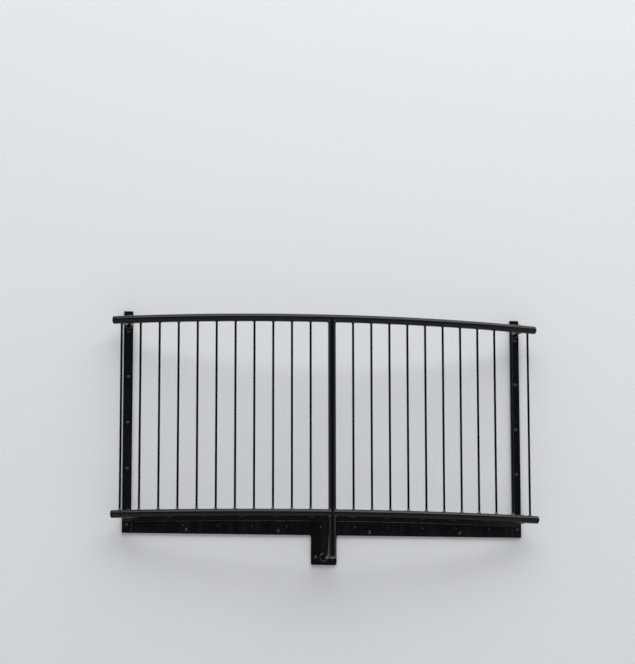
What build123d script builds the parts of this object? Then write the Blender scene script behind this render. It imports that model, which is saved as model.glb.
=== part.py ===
from build123d import *

import os
from math import asin, cos, degrees, sin, sqrt

# Bowed juliet balcony in painted steel, with the flat posts and the plate that it's mounted by.
# X runs to the right along it, Y to the back and Z up, in millimetres. The origin lies on the
# mounting face, at the middle of the wall plate, so the whole railing stands at Y below 0.

# Rails: two equal round tubes bent to one radius, as seen from above
rail_diameter = 42.4
rail_chord = 2310.0  # straight from one rail end to the other
rail_bow = 200.0  # how far the middle of a rail stands out past its ends
rail_standoff = 130.0  # mounting face to the centre line of a rail, at its ends
rail_spacing = 1050.0  # bottom rail to top rail, between centre lines
bottom_rail_drop = 13.0  # wall plate's upper edge down to the centre line of the bottom rail
tube_wall = 3.2

# Plugs that close the rail ends and the foot of the leg
cap_head = 6.0
cap_edge = 4.5
cap_spigot = 16.0
cap_play = 0.15  # all round, between the spigot and the bore

# Tube of the centre post, of the leg below it and of the four arms from the wall posts. It's a
# little slimmer than the rails, so that its ends can be cut to their round.
upright_diameter = 42.0

# Balusters: plain round bars with equal clear gaps, the gap beside the centre post included
baluster_diameter = 12.0
balusters_per_side = 11
baluster_inset = 40.0  # rail's end back to the last baluster

# Toe strip: flat bar on edge, bent like the rail and welded below it, from wall post to leg
strip_thickness = 8.0
strip_drop = 22.0  # underside of the bottom rail down to the strip's lower edge

# Flat bar for the wall posts, and plate for the wall plate with the tab that hangs from it
flat_thickness = 10.0
post_width = 50.0
post_inset = 85.0  # rail's end back to the centre line of a wall post
post_head = 73.0  # top rail's centre line up to the end of a wall post
post_corner = 4.0
plate_height = 100.0
tab_width = 140.0
tab_height = 161.0
tab_corner = 10.0

# Leg: the centre tube runs on below the bottom rail, and a level arm holds its foot off the tab. The
# arm is slimmer than the leg, so that its end can be cut to the leg's round.
leg_arm_diameter = 40.0
leg_arm_drop = 120.0  # wall plate's lower edge down to the centre line of the arm
leg_tail = 25.0  # centre line of the arm down to the cut end of the leg
leg_cap_rim = 1.5  # how far the leg's plug stands out past the tube, to carry its weld

# Fixing holes
bolt_hole = 12.0
post_hole_pitch = 250.0
post_hole_count = 4
post_hole_start = 40.0  # top rail's centre line down to the highest hole
low_hole_rise = 45.0  # lower edge of a post up to its lowest hole
plate_hole_pitch = 500.0
plate_hole_count = 4
plate_hole_rise = 20.0  # lower edge of the wall plate up to its row of holes
tab_hole_spacing = 90.0
tab_hole_rise = 42.0  # lower edge of the tab up to its two holes

# Places that follow from the sizes
rail_radius = (rail_chord**2 / 4 + rail_bow**2) / (2 * rail_bow)
half_turn = asin(rail_chord / 2 / rail_radius)
bend_y = rail_radius - rail_standoff - rail_bow
bend_axis = Axis((0, bend_y, 0), (0, 0, 1))
bottom_rail_rise = plate_height / 2 - bottom_rail_drop
top_rail_rise = bottom_rail_rise + rail_spacing
tube_bore = rail_diameter - 2 * tube_wall
plate_low = -plate_height / 2
tab_low = plate_low - tab_height
leg_arm_rise = plate_low - leg_arm_drop
leg_low = leg_arm_rise - leg_tail
post_x = rail_chord / 2 - post_inset
post_inner_edge = post_x - post_width / 2
post_top = top_rail_rise + post_head
last_baluster = rail_chord / 2 - baluster_inset
end_gap = (upright_diameter - baluster_diameter) / 2
baluster_pitch = (last_baluster - end_gap) / balusters_per_side


def rail_y(x):
    """Y of a rail's centre line, at a place along X."""
    return bend_y - sqrt(rail_radius**2 - x**2)


def rail_end(side, rise):
    """Plane across one end of a rail, facing into the tube. Side is -1 left and 1 right."""
    return Plane(
        origin=(side * rail_chord / 2, rail_y(rail_chord / 2), rise),
        x_dir=(0, 0, 1),
        z_dir=(-side * cos(half_turn), -sin(half_turn), 0),
    )


def bent_bar(rise):
    """The full round outline of a rail, which shapes the ends of all that is welded to it."""
    with BuildPart() as bar:
        with BuildSketch(rail_end(-1, rise)):
            Circle(rail_diameter / 2)
        revolve(axis=bend_axis, revolution_arc=2 * degrees(half_turn))
    return bar.part


os.makedirs("parts", exist_ok=True)
top_outline = bent_bar(top_rail_rise)
bottom_outline = bent_bar(bottom_rail_rise)

# Top and bottom rails, hollow from end to end
for name, rise in (("top_rail", top_rail_rise), ("bottom_rail", bottom_rail_rise)):
    with BuildPart() as rail:
        with BuildSketch(rail_end(-1, rise)):
            Circle(rail_diameter / 2)
            Circle(tube_bore / 2, mode=Mode.SUBTRACT)
        revolve(axis=bend_axis, revolution_arc=2 * degrees(half_turn))
    rail.part.label = name
    export_step(rail.part, f"parts/{name}.step")

# End plugs: a rounded head on the cut end, and a spigot inside the tube
for height, rise in (("top", top_rail_rise), ("bottom", bottom_rail_rise)):
    for hand, side in (("left", -1), ("right", 1)):
        with BuildPart() as cap:
            with BuildSketch(rail_end(side, rise)):
                Circle(rail_diameter / 2)
            extrude(amount=-cap_head)
            outer_face = cap.faces().sort_by(Axis.X)[0 if side < 0 else -1]
            fillet(outer_face.edges(), radius=cap_edge)
            with BuildSketch(rail_end(side, rise)):
                Circle(tube_bore / 2 - cap_play)
            extrude(amount=cap_spigot)
        cap.part.label = f"{height}_rail_cap_{hand}"
        export_step(cap.part, f"parts/{cap.part.label}.step")

# Centre post: its two ends are fish-mouthed, so that they sit on the round of the rails
with BuildPart() as centre_post:
    with BuildSketch(Plane((0, rail_y(0), bottom_rail_rise))):
        Circle(upright_diameter / 2)
        Circle(upright_diameter / 2 - tube_wall, mode=Mode.SUBTRACT)
    extrude(amount=rail_spacing)
    add(top_outline, mode=Mode.SUBTRACT)
    add(bottom_outline, mode=Mode.SUBTRACT)
centre_post.part.label = "centre_post"
export_step(centre_post.part, "parts/centre_post.step")

# Centre leg: the same tube goes on below the bottom rail, fish-mouthed under it and cut square at
# its foot
with BuildPart() as centre_leg:
    with BuildSketch(Plane((0, rail_y(0), leg_low))):
        Circle(upright_diameter / 2)
        Circle(upright_diameter / 2 - tube_wall, mode=Mode.SUBTRACT)
    extrude(amount=bottom_rail_rise - leg_low)
    add(bottom_outline, mode=Mode.SUBTRACT)
centre_leg.part.label = "centre_leg"
export_step(centre_leg.part, "parts/centre_leg.step")

# Plug in the foot of the leg, like those in the rails but with a rim
with BuildPart() as centre_leg_cap:
    with BuildSketch(Plane((0, rail_y(0), leg_low))):
        Circle(upright_diameter / 2 + leg_cap_rim)
    extrude(amount=-cap_head)
    fillet(centre_leg_cap.edges().sort_by(Axis.Z)[0], radius=cap_edge)
    with BuildSketch(Plane((0, rail_y(0), leg_low))):
        Circle(upright_diameter / 2 - tube_wall - cap_play)
    extrude(amount=cap_spigot)
centre_leg_cap.part.label = "centre_leg_cap"
export_step(centre_leg_cap.part, "parts/centre_leg_cap.step")

# Leg arm: level tube, square off the tab and saddled to the back of the leg
with BuildPart() as centre_leg_arm:
    with BuildSketch(Plane.XZ.offset(flat_thickness)):
        with Locations((0, leg_arm_rise)):
            Circle(leg_arm_diameter / 2)
            Circle(leg_arm_diameter / 2 - tube_wall, mode=Mode.SUBTRACT)
    extrude(amount=-rail_y(0) - flat_thickness)
    with BuildSketch(Plane((0, rail_y(0), leg_low))):
        Circle(upright_diameter / 2)
    extrude(amount=bottom_rail_rise - leg_low, mode=Mode.SUBTRACT)
centre_leg_arm.part.label = "centre_leg_arm"
export_step(centre_leg_arm.part, "parts/centre_leg_arm.step")

# Balusters, each one saddled top and bottom to the rails
for hand, side in (("left", -1), ("right", 1)):
    for number in range(balusters_per_side):
        x = side * (last_baluster - number * baluster_pitch)
        with BuildPart() as baluster:
            with BuildSketch(Plane((x, rail_y(x), bottom_rail_rise))):
                Circle(baluster_diameter / 2)
            extrude(amount=rail_spacing)
            add(top_outline, mode=Mode.SUBTRACT)
            add(bottom_outline, mode=Mode.SUBTRACT)
        baluster.part.label = f"baluster_{hand}_{balusters_per_side - number:02d}"
        export_step(baluster.part, f"parts/{baluster.part.label}.step")

# Wall posts: flat bars on the mounting face, drilled in line, and standing above the top rail
for hand, side in (("left", -1), ("right", 1)):
    with BuildPart() as wall_post:
        with BuildSketch(Plane.XZ):
            with Locations((side * post_x, (plate_low + post_top) / 2)):
                Rectangle(post_width, post_top - plate_low)
            outer_foot = vertices().group_by(Axis.Y)[0].sort_by(Axis.X)[0 if side < 0 else -1]
            fillet(vertices().group_by(Axis.Y)[-1] + [outer_foot], radius=post_corner)
            with Locations((side * post_x, plate_low + low_hole_rise)):
                Circle(bolt_hole / 2, mode=Mode.SUBTRACT)
            for number in range(post_hole_count):
                hole_rise = top_rail_rise - post_hole_start - number * post_hole_pitch
                with Locations((side * post_x, hole_rise)):
                    Circle(bolt_hole / 2, mode=Mode.SUBTRACT)
        extrude(amount=flat_thickness)
    wall_post.part.label = f"wall_post_{hand}"
    export_step(wall_post.part, f"parts/{wall_post.part.label}.step")

# Rail arms: short tubes square off the wall posts, saddled to the backs of the rails
for height, rise, outline in (
    ("top", top_rail_rise, top_outline),
    ("bottom", bottom_rail_rise, bottom_outline),
):
    for hand, side in (("left", -1), ("right", 1)):
        with BuildPart() as arm:
            with BuildSketch(Plane.XZ.offset(flat_thickness)):
                with Locations((side * post_x, rise)):
                    Circle(upright_diameter / 2)
                    Circle(upright_diameter / 2 - tube_wall, mode=Mode.SUBTRACT)
            extrude(amount=-rail_y(post_x) - flat_thickness)
            add(outline, mode=Mode.SUBTRACT)
        arm.part.label = f"{height}_rail_arm_{hand}"
        export_step(arm.part, f"parts/{arm.part.label}.step")

# Toe strips: bent under the bottom rail from the inner edges of the wall posts to the leg, where
# their ends are coped to its round
for hand, side in (("left", -1), ("right", 1)):
    with BuildPart() as toe_strip:
        with BuildSketch(Plane.XY.offset(bottom_rail_rise - rail_diameter / 2)):
            with Locations((0, bend_y)):
                Circle(rail_radius + strip_thickness / 2)
                Circle(rail_radius - strip_thickness / 2, mode=Mode.SUBTRACT)
            with Locations((side * post_inner_edge / 2, rail_y(0))):
                Rectangle(post_inner_edge, 2 * rail_bow, mode=Mode.INTERSECT)
            with Locations((0, rail_y(0))):
                Circle(upright_diameter / 2, mode=Mode.SUBTRACT)
        extrude(amount=-strip_drop)
    toe_strip.part.label = f"toe_strip_{hand}"
    export_step(toe_strip.part, f"parts/{toe_strip.part.label}.step")

# Wall plate: welded between the posts, edge to edge. Its tab takes the thrust of the centre leg.
with BuildPart() as wall_plate:
    with BuildSketch(Plane.XZ):
        Rectangle(2 * post_inner_edge, plate_height)
        with Locations((0, (plate_low + tab_low) / 2)):
            Rectangle(tab_width, tab_height)
        tab_corners = vertices().filter_by(lambda corner: abs(corner.X) < tab_width / 2 + 1)
        fillet(tab_corners, radius=tab_corner)
        with Locations((0, plate_low + plate_hole_rise)):
            with GridLocations(plate_hole_pitch, 0, plate_hole_count, 1):
                Circle(bolt_hole / 2, mode=Mode.SUBTRACT)
        with Locations((0, tab_low + tab_hole_rise)):
            with GridLocations(tab_hole_spacing, 0, 2, 1):
                Circle(bolt_hole / 2, mode=Mode.SUBTRACT)
    extrude(amount=flat_thickness)
wall_plate.part.label = "wall_plate"
export_step(wall_plate.part, "parts/wall_plate.step")
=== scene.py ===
from math import cos, pi, sin, sqrt

import bmesh
import bpy
from mathutils import Matrix, Vector


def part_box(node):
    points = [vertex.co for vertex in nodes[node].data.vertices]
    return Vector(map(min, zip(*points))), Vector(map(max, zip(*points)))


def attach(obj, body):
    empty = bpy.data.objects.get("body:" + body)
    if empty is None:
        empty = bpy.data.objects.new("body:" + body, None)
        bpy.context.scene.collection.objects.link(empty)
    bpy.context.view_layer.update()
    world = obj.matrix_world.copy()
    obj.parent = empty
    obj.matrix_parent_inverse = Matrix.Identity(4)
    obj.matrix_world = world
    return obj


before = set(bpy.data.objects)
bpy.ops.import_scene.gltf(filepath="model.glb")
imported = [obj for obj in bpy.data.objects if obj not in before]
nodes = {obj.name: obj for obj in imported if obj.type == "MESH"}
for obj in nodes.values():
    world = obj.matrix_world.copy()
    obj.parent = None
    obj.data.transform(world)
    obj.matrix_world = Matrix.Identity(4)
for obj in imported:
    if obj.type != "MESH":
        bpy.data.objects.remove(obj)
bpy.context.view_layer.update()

# Top and bottom rails: round steel tube, bent to one long radius and painted satin black. Rain and
# a little dust have dulled the paint along the top of each tube.
RAIL_TUBE = 0.0424
RAIL_CHORD = 2.310
RAIL_BOW = 0.200
RAIL_STANDOFF = 0.130
BEND_RADIUS = (RAIL_CHORD**2 / 4 + RAIL_BOW**2) / (2 * RAIL_BOW)
BEND_CENTRE = Vector((0.0, BEND_RADIUS - RAIL_STANDOFF - RAIL_BOW))
TOP_RISE = 1.087
BOTTOM_RISE = 0.037
BLACK = (0.0021, 0.0024, 0.0028, 1.0)
DUSTY_BLACK = (0.013, 0.0135, 0.014, 1.0)
BARE_EDGE = (0.060, 0.062, 0.065, 1.0)
CLOUD_SCALE = 9.0
SPECKLE_SCALE = 420.0
FACING_UP = (0.25, 0.95)
SETTLED_CLOUD = (0.32, 0.68, 0.35, 1.0)
HAZE_CLOUD = (0.42, 0.64)
HAZE_SPECKLE = (0.45, 0.66)
HAZE_SHARE = 0.4
STREAK_SCALE = 26.0
STREAK_STRETCH = (1.0, 1.0, 0.06)
STREAK_RANGE = (0.42, 0.66)
STREAK_TINT = 0.2
GRIT_RANGE = (0.45, 0.8, 0.0, 0.25)
GRAIN_HEIGHT = 0.18
FILM_DEPTH = 0.0006
EDGE_ROUND = 0.0016
EDGE_RANGE = (0.985, 0.86)
CHIP_SCALE = 55.0
CHIP_RANGE = (0.44, 0.66)


def new_group(name, inputs, outputs):
    """An empty shader group, with its sockets made and their resting values set."""
    group = bpy.data.node_groups.new(name, "ShaderNodeTree")
    for label, kind, value in inputs:
        socket = group.interface.new_socket(label, in_out="INPUT", socket_type=kind)
        socket.default_value = value
    for label, kind in outputs:
        group.interface.new_socket(label, in_out="OUTPUT", socket_type=kind)
    return group, group.nodes.new("NodeGroupInput"), group.nodes.new("NodeGroupOutput")


def place(tree, kind, **settings):
    """A shader node with some of its settings given."""
    node = tree.nodes.new(kind)
    for key, value in settings.items():
        setattr(node, key, value)
    return node


def noise(tree, coordinates, scale, detail=4.0, roughness=0.55):
    """A noise texture on the given coordinates."""
    node = place(tree, "ShaderNodeTexNoise")
    tree.links.new(coordinates, node.inputs["Vector"])
    node.inputs["Scale"].default_value = scale
    node.inputs["Detail"].default_value = detail
    node.inputs["Roughness"].default_value = roughness
    return node.outputs["Fac"]


def remap(tree, value, low, high, to_low=0.0, to_high=1.0):
    """A value taken from one range to another, held at both ends."""
    node = place(tree, "ShaderNodeMapRange", clamp=True)
    tree.links.new(value, node.inputs["Value"])
    node.inputs["From Min"].default_value = low
    node.inputs["From Max"].default_value = high
    node.inputs["To Min"].default_value = to_low
    node.inputs["To Max"].default_value = to_high
    return node.outputs["Result"]


def calculate(tree, operation, first, second):
    """Arithmetic on two values, each a socket or a number."""
    node = place(tree, "ShaderNodeMath", operation=operation)
    for socket, value in zip(node.inputs, (first, second)):
        if isinstance(value, (int, float)):
            socket.default_value = value
        else:
            tree.links.new(value, socket)
    return node.outputs["Value"]


def paint_film():
    """Brushed or sprayed enamel, which lies in soft waves, with a fine grain and weathering on it."""
    film, given, result = new_group(
        "paint_film",
        (
            ("Paint", "NodeSocketColor", BLACK),
            ("Dust", "NodeSocketColor", DUSTY_BLACK),
            ("Dust amount", "NodeSocketFloat", 0.5),
            ("Gloss", "NodeSocketFloat", 0.26),
            ("Dulled", "NodeSocketFloat", 0.46),
            ("Wave size", "NodeSocketFloat", 130.0),
            ("Wave height", "NodeSocketFloat", 0.25),
            ("Rain streaks", "NodeSocketFloat", 0.3),
        ),
        (
            ("Colour", "NodeSocketColor"),
            ("Roughness", "NodeSocketFloat"),
            ("Normal", "NodeSocketVector"),
        ),
    )
    spot = place(film, "ShaderNodeTexCoord").outputs["Object"]
    facing = place(film, "ShaderNodeSeparateXYZ")
    film.links.new(place(film, "ShaderNodeNewGeometry").outputs["Normal"], facing.inputs[0])
    cloud = noise(film, spot, CLOUD_SCALE, detail=5.0)
    speckle = noise(film, spot, SPECKLE_SCALE, detail=3.0, roughness=0.7)

    # Dust settles on what faces up, and lies as a thin haze elsewhere
    upward = remap(film, facing.outputs["Z"], *FACING_UP)
    settled = calculate(film, "MULTIPLY", upward, remap(film, cloud, *SETTLED_CLOUD))
    haze = calculate(film, "MULTIPLY", remap(film, cloud, *HAZE_CLOUD), remap(film, speckle, *HAZE_SPECKLE))
    dust = calculate(film, "MAXIMUM", settled, calculate(film, "MULTIPLY", haze, HAZE_SHARE))
    dust = calculate(film, "MULTIPLY", dust, given.outputs["Dust amount"])

    # Rain runs down and leaves long upright streaks
    stretch = place(film, "ShaderNodeMapping")
    stretch.inputs["Scale"].default_value = STREAK_STRETCH
    film.links.new(spot, stretch.inputs["Vector"])
    runs = noise(film, stretch.outputs["Vector"], STREAK_SCALE, detail=3.0)
    runs = remap(film, runs, *STREAK_RANGE)
    streaks = calculate(film, "MULTIPLY", runs, given.outputs["Rain streaks"])

    tint = place(film, "ShaderNodeMix", data_type="RGBA")
    weathering = calculate(film, "MAXIMUM", dust, calculate(film, "MULTIPLY", streaks, STREAK_TINT))
    film.links.new(weathering, tint.inputs["Factor"])
    film.links.new(given.outputs["Paint"], tint.inputs["A"])
    film.links.new(given.outputs["Dust"], tint.inputs["B"])
    film.links.new(tint.outputs["Result"], result.inputs["Colour"])

    dulling = calculate(film, "MAXIMUM", dust, streaks)
    dulling = calculate(film, "MAXIMUM", dulling, remap(film, speckle, *GRIT_RANGE))
    gloss = place(film, "ShaderNodeMapRange", clamp=True)
    film.links.new(dulling, gloss.inputs["Value"])
    film.links.new(given.outputs["Gloss"], gloss.inputs["To Min"])
    film.links.new(given.outputs["Dulled"], gloss.inputs["To Max"])
    film.links.new(gloss.outputs["Result"], result.inputs["Roughness"])

    waves = place(film, "ShaderNodeTexNoise")
    film.links.new(spot, waves.inputs["Vector"])
    film.links.new(given.outputs["Wave size"], waves.inputs["Scale"])
    waves.inputs["Detail"].default_value = 3.0
    grain = calculate(film, "MULTIPLY", speckle, GRAIN_HEIGHT)
    bump = place(film, "ShaderNodeBump")
    bump.inputs["Distance"].default_value = FILM_DEPTH
    film.links.new(calculate(film, "ADD", waves.outputs["Fac"], grain), bump.inputs["Height"])
    film.links.new(given.outputs["Wave height"], bump.inputs["Strength"])
    film.links.new(bump.outputs["Normal"], result.inputs["Normal"])
    return film


def worn_edges():
    """Mask of the edges, where the paint thins and greys because hands and weather rub it."""
    wear, given, result = new_group(
        "worn_edges",
        (("Amount", "NodeSocketFloat", 0.5),),
        (("Mask", "NodeSocketFloat"),),
    )
    rounded = place(wear, "ShaderNodeBevel", samples=4)
    rounded.inputs["Radius"].default_value = EDGE_ROUND
    likeness = place(wear, "ShaderNodeVectorMath", operation="DOT_PRODUCT")
    wear.links.new(rounded.outputs["Normal"], likeness.inputs[0])
    wear.links.new(place(wear, "ShaderNodeNewGeometry").outputs["Normal"], likeness.inputs[1])
    edge = remap(wear, likeness.outputs["Value"], *EDGE_RANGE)
    spot = place(wear, "ShaderNodeTexCoord").outputs["Object"]
    chips = remap(wear, noise(wear, spot, CHIP_SCALE, detail=6.0, roughness=0.7), *CHIP_RANGE)
    rubbed = calculate(wear, "MULTIPLY", edge, chips)
    wear.links.new(calculate(wear, "MULTIPLY", rubbed, given.outputs["Amount"]), result.inputs["Mask"])
    return wear


film_group = paint_film()
wear_group = worn_edges()


def black_paint(
    name,
    dust,
    gloss,
    dulled,
    wave_size,
    wave_height,
    rubbing,
    streaks=0.0,
    shine=0.3,
    dust_and_glint=DUSTY_BLACK,
):
    """Satin black paint over steel, with its own dust, gloss, waves, streaks and edge wear; on welds the
    pale dust colour is partly a painted highlight.
    """
    material = bpy.data.materials.new(name)
    material.use_nodes = True
    tree = material.node_tree
    shader = tree.nodes["Principled BSDF"]
    coat = place(tree, "ShaderNodeGroup", node_tree=film_group)
    coat.inputs["Dust"].default_value = dust_and_glint
    coat.inputs["Dust amount"].default_value = dust
    coat.inputs["Gloss"].default_value = gloss
    coat.inputs["Dulled"].default_value = dulled
    coat.inputs["Wave size"].default_value = wave_size
    coat.inputs["Wave height"].default_value = wave_height
    coat.inputs["Rain streaks"].default_value = streaks
    edges = place(tree, "ShaderNodeGroup", node_tree=wear_group)
    edges.inputs["Amount"].default_value = rubbing
    worn = place(tree, "ShaderNodeMix", data_type="RGBA")
    worn.inputs["B"].default_value = BARE_EDGE
    tree.links.new(edges.outputs["Mask"], worn.inputs["Factor"])
    tree.links.new(coat.outputs["Colour"], worn.inputs["A"])
    tree.links.new(worn.outputs["Result"], shader.inputs["Base Color"])
    tree.links.new(coat.outputs["Roughness"], shader.inputs["Roughness"])
    tree.links.new(coat.outputs["Normal"], shader.inputs["Normal"])
    shader.inputs["Specular IOR Level"].default_value = shine
    return material


def paint_node(name, material):
    """Gives a CAD node its finish."""
    node = nodes[name]
    node.data.materials.clear()
    node.data.materials.append(material)


tube_paint = black_paint(
    "tube_paint",
    dust=0.5,
    gloss=0.11,
    dulled=0.25,
    wave_size=110.0,
    wave_height=0.07,
    rubbing=0.5,
)
for rail in ("top_rail", "bottom_rail"):
    paint_node(rail, tube_paint)

# End plugs: rounded steel heads pressed into the four open ends of the rails, and painted with the
# tube. Their paint lies a little thicker and glossier.
cap_paint = black_paint(
    "cap_paint",
    dust=0.4,
    gloss=0.11,
    dulled=0.24,
    wave_size=150.0,
    wave_height=0.07,
    rubbing=0.4,
)
for height in ("top", "bottom"):
    for hand in ("left", "right"):
        paint_node(f"{height}_rail_cap_{hand}", cap_paint)

# Centre post: round steel tube, a little slimmer than the rails, cut to their round at both ends and
# welded all round. The beads are left as welded, rippled, and painted with the tube.
UPRIGHT_TUBE = 0.042
POST_BEAD = 0.0036
POST_DRESSING = 1.25 * POST_BEAD
SEAM_STEPS = 96
RIPPLE = 0.0026
RIPPLE_SWELL = 0.13
DRIFT_SWELL = 0.07
DRIFT_TURN = 0.37
BEAD_SIDES = 8
BEAD_STEPS = 4
BEAD_END = 0.08
BEAD_RUN = 2.5
# Pale grey for the weld beads: partly dust in the ripples, partly a painted highlight standing in for the
# glints they catch overhead.
WELD_DUST_AND_GLINT = (0.075, 0.076, 0.078, 1.0)


def rail_y(x):
    """Y of a rail's centre line."""
    return BEND_CENTRE.y - sqrt(BEND_RADIUS**2 - x**2)


def upright_seam(x, tube, rise, above, dressing=0.0, steps=SEAM_STEPS):
    """Where an upright tube or bar meets the round of a rail: 1 on top of it, -1 under it."""
    seam = []
    for number in range(steps):
        turn = 2 * pi * number / steps
        depth = (tube / 2 - dressing * sin(turn) ** 2) * sin(turn)
        spot = Vector((x + tube / 2 * cos(turn), rail_y(x) + depth))
        across = (spot - BEND_CENTRE).length - BEND_RADIUS
        height = sqrt(max((RAIL_TUBE / 2) ** 2 - across**2, 0.0))
        seam.append(Vector((spot.x, spot.y, rise + above * height)))
    return seam


def evenly(points, step, closed):
    """The same line with its points spaced evenly."""
    line = points + points[:1] if closed else points
    lengths = [0.0]
    for first, second in zip(line, line[1:]):
        lengths.append(lengths[-1] + (second - first).length)
    count = max(4, round(lengths[-1] / step))
    spaced = []
    piece = 0
    for number in range(count if closed else count + 1):
        wanted = lengths[-1] * number / count
        while piece < len(lengths) - 2 and lengths[piece + 1] < wanted:
            piece += 1
        share = (wanted - lengths[piece]) / (lengths[piece + 1] - lengths[piece])
        spaced.append(line[piece].lerp(line[piece + 1], share))
    return spaced


def bridge(mesh, ring, following):
    """Adds the faces between two rings with as many corners."""
    for corner, spot in enumerate(ring):
        beside = (corner + 1) % len(ring)
        mesh.faces.new((spot, ring[beside], following[beside], following[corner]))


def lay_bead(mesh, points, radius, closed=True):
    """Adds one rippled weld bead along a line of points."""
    line = evenly(points, RIPPLE / BEAD_STEPS, closed)
    count = len(line)
    rings = []
    side = None
    for number, point in enumerate(line):
        if closed:
            along = line[(number + 1) % count] - line[number - 1]
        else:
            along = line[min(number + 1, count - 1)] - line[max(number - 1, 0)]
        along.normalize()
        if side is None:
            side = along.orthogonal()
        side = (side - along * side.dot(along)).normalized()
        other = along.cross(side)
        swell = 1.0 + RIPPLE_SWELL * sin(2 * pi * number / BEAD_STEPS)
        swell += DRIFT_SWELL * sin(DRIFT_TURN * number)
        if not closed:
            reach = min(number, count - 1 - number) / (BEAD_RUN * BEAD_STEPS)
            swell *= sqrt(min(1.0, BEAD_END + reach))
        ring = []
        for corner in range(BEAD_SIDES):
            turn = 2 * pi * corner / BEAD_SIDES
            offset = side * cos(turn) + other * sin(turn)
            ring.append(mesh.verts.new(point + offset * radius * swell))
        rings.append(ring)
    if closed:
        first = rings[0]
        gaps = [(rings[-1][0].co - spot.co).length for spot in first]
        shift = gaps.index(min(gaps))
        rings.append(first[shift:] + first[:shift])
    for ring, following in zip(rings, rings[1:]):
        bridge(mesh, ring, following)
    if not closed:
        mesh.faces.new(rings[0][::-1])
        mesh.faces.new(rings[-1])


def steel_piece(name, mesh, material):
    """Turns a worked mesh into a painted piece that rides on the balcony."""
    bmesh.ops.recalc_face_normals(mesh, faces=mesh.faces[:])
    data = bpy.data.meshes.new(name)
    mesh.to_mesh(data)
    mesh.free()
    piece = bpy.data.objects.new(name, data)
    bpy.context.scene.collection.objects.link(piece)
    data.materials.append(material)
    for face in data.polygons:
        face.use_smooth = True
    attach(piece, "root")
    return piece


def upright_weld(name, rise, above):
    """The bead between a rail and the centre post or leg."""
    beads = bmesh.new()
    lay_bead(beads, upright_seam(0.0, UPRIGHT_TUBE, rise, above, POST_DRESSING), POST_BEAD)
    steel_piece(name, beads, weld_paint)


# Weld paint: its pale, heavy dust is partly real dust and partly painted highlight on the rippled beads.
weld_paint = black_paint(
    "weld_paint",
    dust=0.9,
    gloss=0.14,
    dulled=0.3,
    wave_size=900.0,
    wave_height=0.2,
    rubbing=0.7,
    shine=0.9,
    dust_and_glint=WELD_DUST_AND_GLINT,
)
paint_node("centre_post", tube_paint)
upright_weld("centre_post_top_weld", TOP_RISE, -1)
upright_weld("centre_post_foot_weld", BOTTOM_RISE, 1)

# Centre leg: the same tube goes on below the bottom rail, with a rimmed plug welded into its foot. A
# level arm of slimmer tube, saddled to its back and welded at both ends, holds it off the tab.
LEG_ARM = 0.040
LEG_ARM_RISE = -0.170
LEG_LOW = -0.195
PLATE_FACE = -0.010
FACE_LEG = 0.0055
FACE_STEPS = 200
FACE_RIPPLE_STEPS = 5
FILLET_CROWN = 0.16
FILLET_DRIFT = 0.05
FILLET_DRIFT_TURN = 0.61
FILLET_STATIONS = (0.2, 0.5, 0.8)
WELD_ROOT = 0.0005
PLUG_BEAD = 0.0018
PLUG_SEAM = 0.0204
PLUG_SEAM_LIFT = 0.0006


def lay_fillet(mesh, root, high, foot, ripple_steps):
    """Adds a fillet weld round a joint: from the root, it climbs to one line and spreads to another."""
    rings = []
    for number, (inner, top, toe) in enumerate(zip(root, high, foot)):
        outward = (top + toe) / 2 - inner
        ring = [mesh.verts.new(inner), mesh.verts.new(top)]
        crown = FILLET_CROWN + RIPPLE_SWELL * sin(2 * pi * number / ripple_steps)
        crown += FILLET_DRIFT * sin(FILLET_DRIFT_TURN * number)
        for share in FILLET_STATIONS:
            bulge = outward * crown * sin(pi * share)
            ring.append(mesh.verts.new(top.lerp(toe, share) + bulge))
        ring.append(mesh.verts.new(toe))
        rings.append(ring)
    for ring, following in zip(rings, rings[1:] + rings[:1]):
        bridge(mesh, ring, following)


def face_weld(mesh, x, z, tube):
    """Adds the fillet where a level tube meets the flat face of a post or plate."""
    lines = ([], [], [])
    seat = Vector((x, PLATE_FACE, z))
    for number in range(FACE_STEPS):
        turn = 2 * pi * number / FACE_STEPS
        across = Vector((cos(turn), 0.0, sin(turn)))
        lines[0].append(seat + across * (tube / 2 - WELD_ROOT))
        lines[1].append(seat + across * tube / 2 - Vector((0.0, FACE_LEG, 0.0)))
        lines[2].append(seat + across * (tube / 2 + FACE_LEG))
    lay_fillet(mesh, *lines, FACE_RIPPLE_STEPS)


paint_node("centre_leg", tube_paint)
paint_node("centre_leg_arm", tube_paint)
paint_node("centre_leg_cap", cap_paint)
upright_weld("centre_leg_top_weld", BOTTOM_RISE, -1)
arm_beads = bmesh.new()
face_weld(arm_beads, 0.0, LEG_ARM_RISE, LEG_ARM)
arm_line = []
foot_line = []
for number in range(SEAM_STEPS):
    turn = 2 * pi * number / SEAM_STEPS
    x = LEG_ARM / 2 * cos(turn)
    back = rail_y(0.0) + sqrt((UPRIGHT_TUBE / 2) ** 2 - x**2)
    arm_line.append(Vector((x, back, LEG_ARM_RISE + LEG_ARM / 2 * sin(turn))))
    across = Vector((cos(turn), sin(turn), 0.0)) * PLUG_SEAM
    foot_line.append(Vector((0.0, rail_y(0.0), LEG_LOW + PLUG_SEAM_LIFT)) + across)
lay_bead(arm_beads, arm_line, POST_BEAD)
steel_piece("centre_leg_arm_welds", arm_beads, weld_paint)
foot_beads = bmesh.new()
lay_bead(foot_beads, foot_line, PLUG_BEAD)
steel_piece("centre_leg_cap_weld", foot_beads, weld_paint)

# Balusters: solid round bar, saddled to both rails, with a small bead round each end. They are too
# thin to hold dust, but rain runs down them and dulls the paint in streaks.
BAR = 0.012
BAR_TOP_CLIMB = 0.0040
BAR_TOP_SPREAD = 0.0028
BAR_FOOT_CLIMB = 0.0070
BAR_FOOT_SPREAD = 0.0034
BAR_STEPS = 64
BAR_RIPPLE_STEPS = 4
BARS_PER_SIDE = 11


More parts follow.
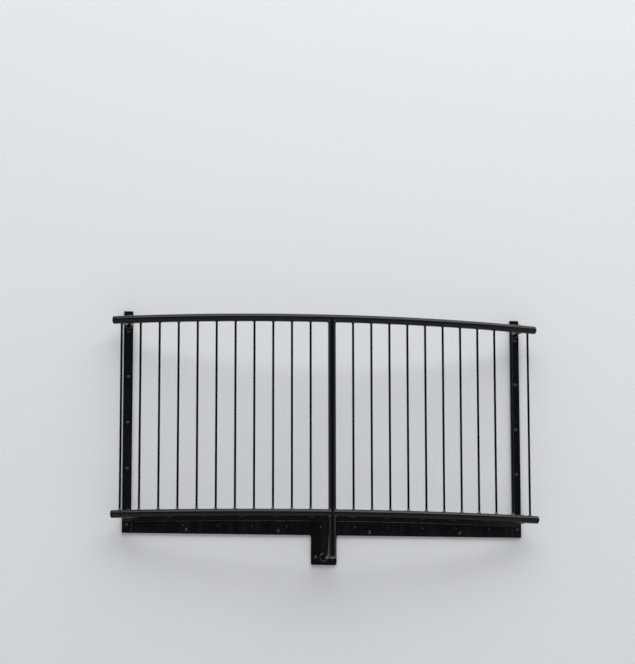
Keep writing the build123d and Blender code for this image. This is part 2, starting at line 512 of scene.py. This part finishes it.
def bar_weld(mesh, x, rise, above, climb, spread):
    """Adds the fillet round one end of a baluster."""
    root = upright_seam(x, BAR - 2 * WELD_ROOT, rise, above, steps=BAR_STEPS)
    edge = upright_seam(x, BAR, rise, above, steps=BAR_STEPS)
    toe = upright_seam(x, BAR + 2 * spread, rise, above, steps=BAR_STEPS)
    high = [spot + Vector((0.0, 0.0, above * climb)) for spot in edge]
    lay_fillet(mesh, root, high, toe, BAR_RIPPLE_STEPS)


bar_paint = black_paint(
    "bar_paint",
    dust=0.3,
    gloss=0.2,
    dulled=0.4,
    wave_size=180.0,
    wave_height=0.12,
    rubbing=0.25,
    streaks=0.45,
    shine=0.1,
)
for hand in ("left", "right"):
    top_beads = bmesh.new()
    foot_beads = bmesh.new()
    for number in range(1, BARS_PER_SIDE + 1):
        bar = f"baluster_{hand}_{number:02d}"
        paint_node(bar, bar_paint)
        low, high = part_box(bar)
        x = (low.x + high.x) / 2
        bar_weld(top_beads, x, TOP_RISE, -1, BAR_TOP_CLIMB, BAR_TOP_SPREAD)
        bar_weld(foot_beads, x, BOTTOM_RISE, 1, BAR_FOOT_CLIMB, BAR_FOOT_SPREAD)
    steel_piece(f"baluster_top_welds_{hand}", top_beads, weld_paint)
    steel_piece(f"baluster_foot_welds_{hand}", foot_beads, weld_paint)

# Wall posts and rail arms: flat bar with eased corners, drilled for its bolts, and short tubes that
# are welded square to it and saddled to the backs of the rails.
POST_X = 1.070
FLAT_DIRT = (0.017, 0.0174, 0.018, 1.0)


def arm_seam(side, rise):
    """Where a level arm meets the back of a rail."""
    seam = []
    for number in range(SEAM_STEPS):
        turn = 2 * pi * number / SEAM_STEPS
        x = side * POST_X + UPRIGHT_TUBE / 2 * cos(turn)
        up = UPRIGHT_TUBE / 2 * sin(turn)
        reach = BEND_RADIUS - sqrt((RAIL_TUBE / 2) ** 2 - up**2)
        seam.append(Vector((x, BEND_CENTRE.y - sqrt(reach**2 - x**2), rise + up)))
    return seam


flat_paint = black_paint(
    "flat_paint",
    dust=0.8,
    gloss=0.2,
    dulled=0.42,
    wave_size=45.0,
    wave_height=0.16,
    rubbing=0.8,
    streaks=0.45,
    dust_and_glint=FLAT_DIRT,
)
for hand, side in (("left", -1), ("right", 1)):
    paint_node(f"wall_post_{hand}", flat_paint)
    for height, rise in (("top", TOP_RISE), ("bottom", BOTTOM_RISE)):
        paint_node(f"{height}_rail_arm_{hand}", tube_paint)
        beads = bmesh.new()
        face_weld(beads, side * POST_X, rise, UPRIGHT_TUBE)
        lay_bead(beads, arm_seam(side, rise), POST_BEAD)
        steel_piece(f"{height}_rail_arm_welds_{hand}", beads, weld_paint)

# Wall plate: one flat plate with the tab cut in one piece with it. Its ends are welded to the posts
# from the front, with a low bead dressed nearly flush.
PLATE_LOW = -0.050
PLATE_TOP = 0.050
JOINT_X = 1.045
JOINT_BEAD = 0.0016
JOINT_INSET = 0.002
paint_node("wall_plate", flat_paint)
for hand, side in (("left", -1), ("right", 1)):
    beads = bmesh.new()
    foot = Vector((side * JOINT_X, PLATE_FACE, PLATE_LOW + JOINT_INSET))
    head = Vector((side * JOINT_X, PLATE_FACE, PLATE_TOP - JOINT_INSET))
    lay_bead(beads, [foot, head], JOINT_BEAD, closed=False)
    steel_piece(f"wall_plate_weld_{hand}", beads, weld_paint)

# Toe strips: flat bar on edge under the bottom rail, bent with it and held by short stitch welds on
# both sides, and by a heavier weld round the outer end.
STRIP = 0.008
STRIP_END = 1.045
END_BEAD = 0.0034
END_RETURN = 0.022
STITCHES = 5
STITCH = 0.028
STITCH_PITCH = 0.187
STITCH_BEAD = 0.0024
STITCH_STEPS = 8
FIRST_STITCH = 0.110


def strip_root(x, face):
    """A point in the corner between a toe strip and the rail: face is -1 behind and 1 in front."""
    radius = BEND_RADIUS + face * STRIP / 2
    return Vector((x, BEND_CENTRE.y - sqrt(radius**2 - x**2), BOTTOM_RISE - RAIL_TUBE / 2))


strip_paint = black_paint(
    "strip_paint",
    dust=0.7,
    gloss=0.2,
    dulled=0.42,
    wave_size=60.0,
    wave_height=0.14,
    rubbing=0.25,
    streaks=0.3,
    dust_and_glint=FLAT_DIRT,
)
for hand, side in (("left", -1), ("right", 1)):
    paint_node(f"toe_strip_{hand}", strip_paint)
    beads = bmesh.new()
    for number in range(STITCHES):
        middle = side * (FIRST_STITCH + number * STITCH_PITCH)
        for face in (-1, 1):
            shares = [step / STITCH_STEPS - 0.5 for step in range(STITCH_STEPS + 1)]
            seam = [strip_root(middle + STITCH * share, face) for share in shares]
            lay_bead(beads, seam, STITCH_BEAD, closed=False)
    outer = side * STRIP_END
    inner = side * (STRIP_END - END_RETURN)
    corners = [strip_root(inner, -1), strip_root(outer, -1), strip_root(outer, 1), strip_root(inner, 1)]
    lay_bead(beads, corners, END_BEAD, closed=False)
    steel_piece(f"toe_strip_welds_{hand}", beads, weld_paint)

# Wall bolts: threaded studs, which come through the holes and carry plain washers and domed nuts.
# They were brushed over with the same black, and each nut stands at its own turn.
NUT_ACROSS = 0.017
NUT_SHOULDER = 0.0075
NUT_FACE = 0.0080
NUT_CHAMFER = 0.5
NUT_CORNERS = 48
DOME = 0.0156
DOME_FOOT = 0.0081
DOME_HIGH = 0.0080
DOME_STEPS = 9
DOME_POLE_STEP = 0.5
BOLT_SHARP_ANGLE = 0.5
POST_NUT_TURN = 0.9
SIDE_NUT_TURN = 0.4
PLATE_NUT_TURN = 0.7
TAB_NUT_TURN = 0.5
TAB_NUT_START = 0.35
WASHER = 0.0215
WASHER_THICK = 0.002
WASHER_SIDE = 0.0015
WASHER_EDGE = 0.0005
WASHER_CORNERS = 32
STUD = 0.010
STUD_END = -0.0002
ROUND_CORNERS = 24
POST_BOLTS = (-0.005, 0.297, 0.547, 0.797, 1.047)
PLATE_BOLTS = (-0.75, -0.25, 0.25, 0.75)
PLATE_BOLT_RISE = -0.030
TAB_BOLTS = (-0.045, 0.045)
TAB_BOLT_RISE = -0.169


def skin(mesh, rings):
    """Closes a stack of rings into a solid."""
    for ring, following in zip(rings, rings[1:]):
        bridge(mesh, ring, following)
    mesh.faces.new(rings[0])
    mesh.faces.new(rings[-1][::-1])


def turned(mesh, outline, corners, centre):
    """Adds a round solid along Y, from pairs of a radius and a place along Y."""
    rings = []
    for radius, y in outline:
        ring = []
        for corner in range(corners):
            turn = 2 * pi * corner / corners
            ring.append(mesh.verts.new(centre + Vector((radius * cos(turn), y, radius * sin(turn)))))
        rings.append(ring)
    skin(mesh, rings)


def domed_nut(mesh, seat, twist):
    """Adds a hexagon nut with chamfered corners and a dome on its outer face."""
    flat = NUT_ACROSS / 2
    rings = [[], [], []]
    for corner in range(NUT_CORNERS):
        turn = 2 * pi * corner / NUT_CORNERS
        reach = flat / cos((turn + pi / 6) % (pi / 3) - pi / 6)
        across = Vector((cos(turn + twist), 0.0, sin(turn + twist)))
        shoulder = NUT_SHOULDER - NUT_CHAMFER * (reach - flat)
        rings[0].append(mesh.verts.new(seat + across * reach))
        rings[1].append(mesh.verts.new(seat + across * reach - Vector((0.0, shoulder, 0.0))))
        rings[2].append(mesh.verts.new(seat + across * flat - Vector((0.0, NUT_FACE, 0.0))))
    for step in range(DOME_STEPS):
        turn = pi / 2 * step / (DOME_STEPS - 1 + DOME_POLE_STEP)
        height = DOME_FOOT + DOME_HIGH * sin(turn)
        ring = []
        for corner in range(NUT_CORNERS):
            angle = 2 * pi * corner / NUT_CORNERS + twist
            reach = DOME / 2 * cos(turn)
            ring.append(mesh.verts.new(seat + Vector((reach * cos(angle), -height, reach * sin(angle)))))
        rings.append(ring)
    skin(mesh, rings)


def wall_bolt(name, x, z, twist):
    """One stud with its washer and domed nut, seated on the flat bar's front face."""
    bolt = bmesh.new()
    seat = Vector((x, PLATE_FACE, z))
    rim = WASHER / 2
    washer = ((rim, 0.0), (rim, -WASHER_SIDE), (rim - WASHER_EDGE, -WASHER_THICK))
    turned(bolt, washer, WASHER_CORNERS, seat)
    domed_nut(bolt, seat - Vector((0.0, WASHER_THICK, 0.0)), twist)
    turned(bolt, ((STUD / 2, 0.0), (STUD / 2, STUD_END - PLATE_FACE)), ROUND_CORNERS, seat)
    piece = steel_piece(name, bolt, bolt_paint)
    piece.data.set_sharp_from_angle(angle=BOLT_SHARP_ANGLE)


bolt_paint = black_paint(
    "bolt_paint",
    dust=0.7,
    gloss=0.17,
    dulled=0.36,
    wave_size=500.0,
    wave_height=0.15,
    rubbing=1.0,
    shine=0.7,
)
for hand, side in (("left", -1), ("right", 1)):
    for number, z in enumerate(POST_BOLTS, start=1):
        twist = POST_NUT_TURN * number + SIDE_NUT_TURN * side
        wall_bolt(f"wall_post_bolt_{hand}_{number}", side * POST_X, z, twist)
for number, x in enumerate(PLATE_BOLTS, start=1):
    wall_bolt(f"wall_plate_bolt_{number}", x, PLATE_BOLT_RISE, PLATE_NUT_TURN * number)
for number, x in enumerate(TAB_BOLTS, start=1):
    wall_bolt(f"tab_bolt_{number}", x, TAB_BOLT_RISE, TAB_NUT_START + TAB_NUT_TURN * number)

# Small domed heads: an upper row of steel rivets along the wall plate, low and round on its front
# face. They are painted in with the plate, so that they show only faintly.
RIVET = 0.0095
RIVET_HIGH = 0.003
RIVET_RISE = -0.0055
RIVET_STEPS = 7
RIVET_POLE_STEP = 0.4
RIVETS = 10
RIVET_PITCH = 0.187
FIRST_RIVET = -0.765
for number in range(RIVETS):
    rivet = bmesh.new()
    dome = []
    for step in range(RIVET_STEPS):
        turn = pi / 2 * step / (RIVET_STEPS - 1 + RIVET_POLE_STEP)
        dome.append((RIVET / 2 * cos(turn), -RIVET_HIGH * sin(turn)))
    seat = Vector((FIRST_RIVET + number * RIVET_PITCH, PLATE_FACE, RIVET_RISE))
    turned(rivet, dome, ROUND_CORNERS, seat)
    steel_piece(f"wall_plate_rivet_{number + 1:02d}", rivet, bolt_paint)

# Stage: a plain pale floor, and a plain pale backdrop against the balcony's back. The backdrop is
# clear from behind, and clear to what lies close against it, so that light reaches the posts' backs.
FLOOR_COLOUR = (0.50, 0.50, 0.50, 1.0)
FLOOR_LEVEL = -2.65
FLOOR_REACH = 90.0
BACKDROP_COLOUR = (0.83, 0.85, 0.875, 1.0)
BACKDROP_Y = 0.0015
BACKDROP_REACH = 7.0
BACKDROP_TOP = 6.0
CLEAR_REACH = 0.006
STAGE_ROUGHNESS = 0.9
STAGE_SHINE = 0.1


def stage_plane(name, corners, colour):
    """A plain matt plane that is no part of the object."""
    data = bpy.data.meshes.new(name)
    data.from_pydata(corners, [], [(0, 1, 2, 3)])
    plane = bpy.data.objects.new(name, data)
    bpy.context.scene.collection.objects.link(plane)
    material = bpy.data.materials.new(name)
    material.use_nodes = True
    shader = material.node_tree.nodes["Principled BSDF"]
    shader.inputs["Base Color"].default_value = colour
    shader.inputs["Roughness"].default_value = STAGE_ROUGHNESS
    shader.inputs["Specular IOR Level"].default_value = STAGE_SHINE
    data.materials.append(material)
    return material


floor_corners = [
    (-FLOOR_REACH, -FLOOR_REACH, FLOOR_LEVEL),
    (FLOOR_REACH, -FLOOR_REACH, FLOOR_LEVEL),
    (FLOOR_REACH, FLOOR_REACH, FLOOR_LEVEL),
    (-FLOOR_REACH, FLOOR_REACH, FLOOR_LEVEL),
]
stage_plane("floor", floor_corners, FLOOR_COLOUR)
backdrop_corners = [
    (-BACKDROP_REACH, BACKDROP_Y, FLOOR_LEVEL),
    (BACKDROP_REACH, BACKDROP_Y, FLOOR_LEVEL),
    (BACKDROP_REACH, BACKDROP_Y, BACKDROP_TOP),
    (-BACKDROP_REACH, BACKDROP_Y, BACKDROP_TOP),
]
backdrop = stage_plane("backdrop", backdrop_corners, BACKDROP_COLOUR).node_tree
clear = place(backdrop, "ShaderNodeBsdfTransparent")
either = place(backdrop, "ShaderNodeMixShader")
rear = place(backdrop, "ShaderNodeNewGeometry").outputs["Backfacing"]
reach = place(backdrop, "ShaderNodeLightPath").outputs["Ray Length"]
near = calculate(backdrop, "LESS_THAN", reach, CLEAR_REACH)
backdrop.links.new(calculate(backdrop, "MAXIMUM", rear, near), either.inputs["Fac"])
backdrop.links.new(backdrop.nodes["Principled BSDF"].outputs[0], either.inputs[1])
backdrop.links.new(clear.outputs[0], either.inputs[2])
backdrop.links.new(either.outputs[0], backdrop.nodes["Material Output"].inputs["Surface"])

# Light: a studio tent that is bright overhead, pale at the sides and dark in front, and one very
# large soft lamp, high in front.
TENT_TOP = (1.0, 1.0, 1.0, 1.0)
TENT_SIDE = (0.90, 0.915, 0.94, 1.0)
TENT_FRONT = (0.12, 0.122, 0.126, 1.0)
SIDE_RANGE = (0.62, 0.92)
TOP_RANGE = (0.42, 0.66)
LAMP_POWER = 930.0
LAMP_WIDE = 18.0
LAMP_HIGH = 9.5
LAMP_PLACE = Vector((1.6, -4.7, 9.2))
LAMP_AIM = Vector((0.0, 0.0, 0.5))
world = bpy.data.worlds.new("studio_tent")
bpy.context.scene.world = world
world.use_nodes = True
tent = world.node_tree
direction = place(tent, "ShaderNodeSeparateXYZ")
tent.links.new(place(tent, "ShaderNodeTexCoord").outputs["Generated"], direction.inputs[0])
sideways = remap(tent, calculate(tent, "ABSOLUTE", direction.outputs["X"], 0.0), *SIDE_RANGE)
horizon = place(tent, "ShaderNodeMix", data_type="RGBA")
horizon.inputs["A"].default_value = TENT_FRONT
horizon.inputs["B"].default_value = TENT_SIDE
tent.links.new(sideways, horizon.inputs["Factor"])
overhead = place(tent, "ShaderNodeMix", data_type="RGBA")
overhead.inputs["B"].default_value = TENT_TOP
tent.links.new(remap(tent, direction.outputs["Z"], *TOP_RANGE), overhead.inputs["Factor"])
tent.links.new(horizon.outputs["Result"], overhead.inputs["A"])
tent.links.new(overhead.outputs["Result"], tent.nodes["Background"].inputs["Color"])
tent.nodes["Background"].inputs["Strength"].default_value = 1.0
lamp = bpy.data.lights.new("soft_lamp", "AREA")
lamp.shape = "ELLIPSE"
lamp.size = LAMP_WIDE
lamp.size_y = LAMP_HIGH
lamp.energy = LAMP_POWER
lamp_object = bpy.data.objects.new("soft_lamp", lamp)
bpy.context.scene.collection.objects.link(lamp_object)
lamp_object.location = LAMP_PLACE
lamp_object.rotation_euler = (LAMP_AIM - LAMP_PLACE).to_track_quat("-Z", "Y").to_euler()

# Camera: from well below the balcony and left of its middle, as the photograph was taken. Its shift
# stands for part of what was cropped away.
CAMERA_PLACE = Vector((-1.832, -12.864, -1.324))
CAMERA_TURN = -0.139
CAMERA_TILT = 0.1548
CAMERA_ROLL = 0.001
CAMERA_SHIFT = 0.1
CAMERA_REACH = 200.0
SENSOR = 36.0
LENS = 130.12
lens = bpy.data.cameras.new("camera")
lens.lens = LENS
lens.sensor_width = SENSOR
lens.shift_y = CAMERA_SHIFT
lens.clip_end = CAMERA_REACH
camera = bpy.data.objects.new("camera", lens)
bpy.context.scene.collection.objects.link(camera)
camera.matrix_world = (
    Matrix.Translation(CAMERA_PLACE)
    @ Matrix.Rotation(CAMERA_TURN, 4, "Z")
    @ Matrix.Rotation(pi / 2 + CAMERA_TILT, 4, "X")
    @ Matrix.Rotation(-CAMERA_ROLL, 4, "Z")
)
bpy.context.scene.camera = camera
bpy.context.scene.view_settings.view_transform = "Standard"
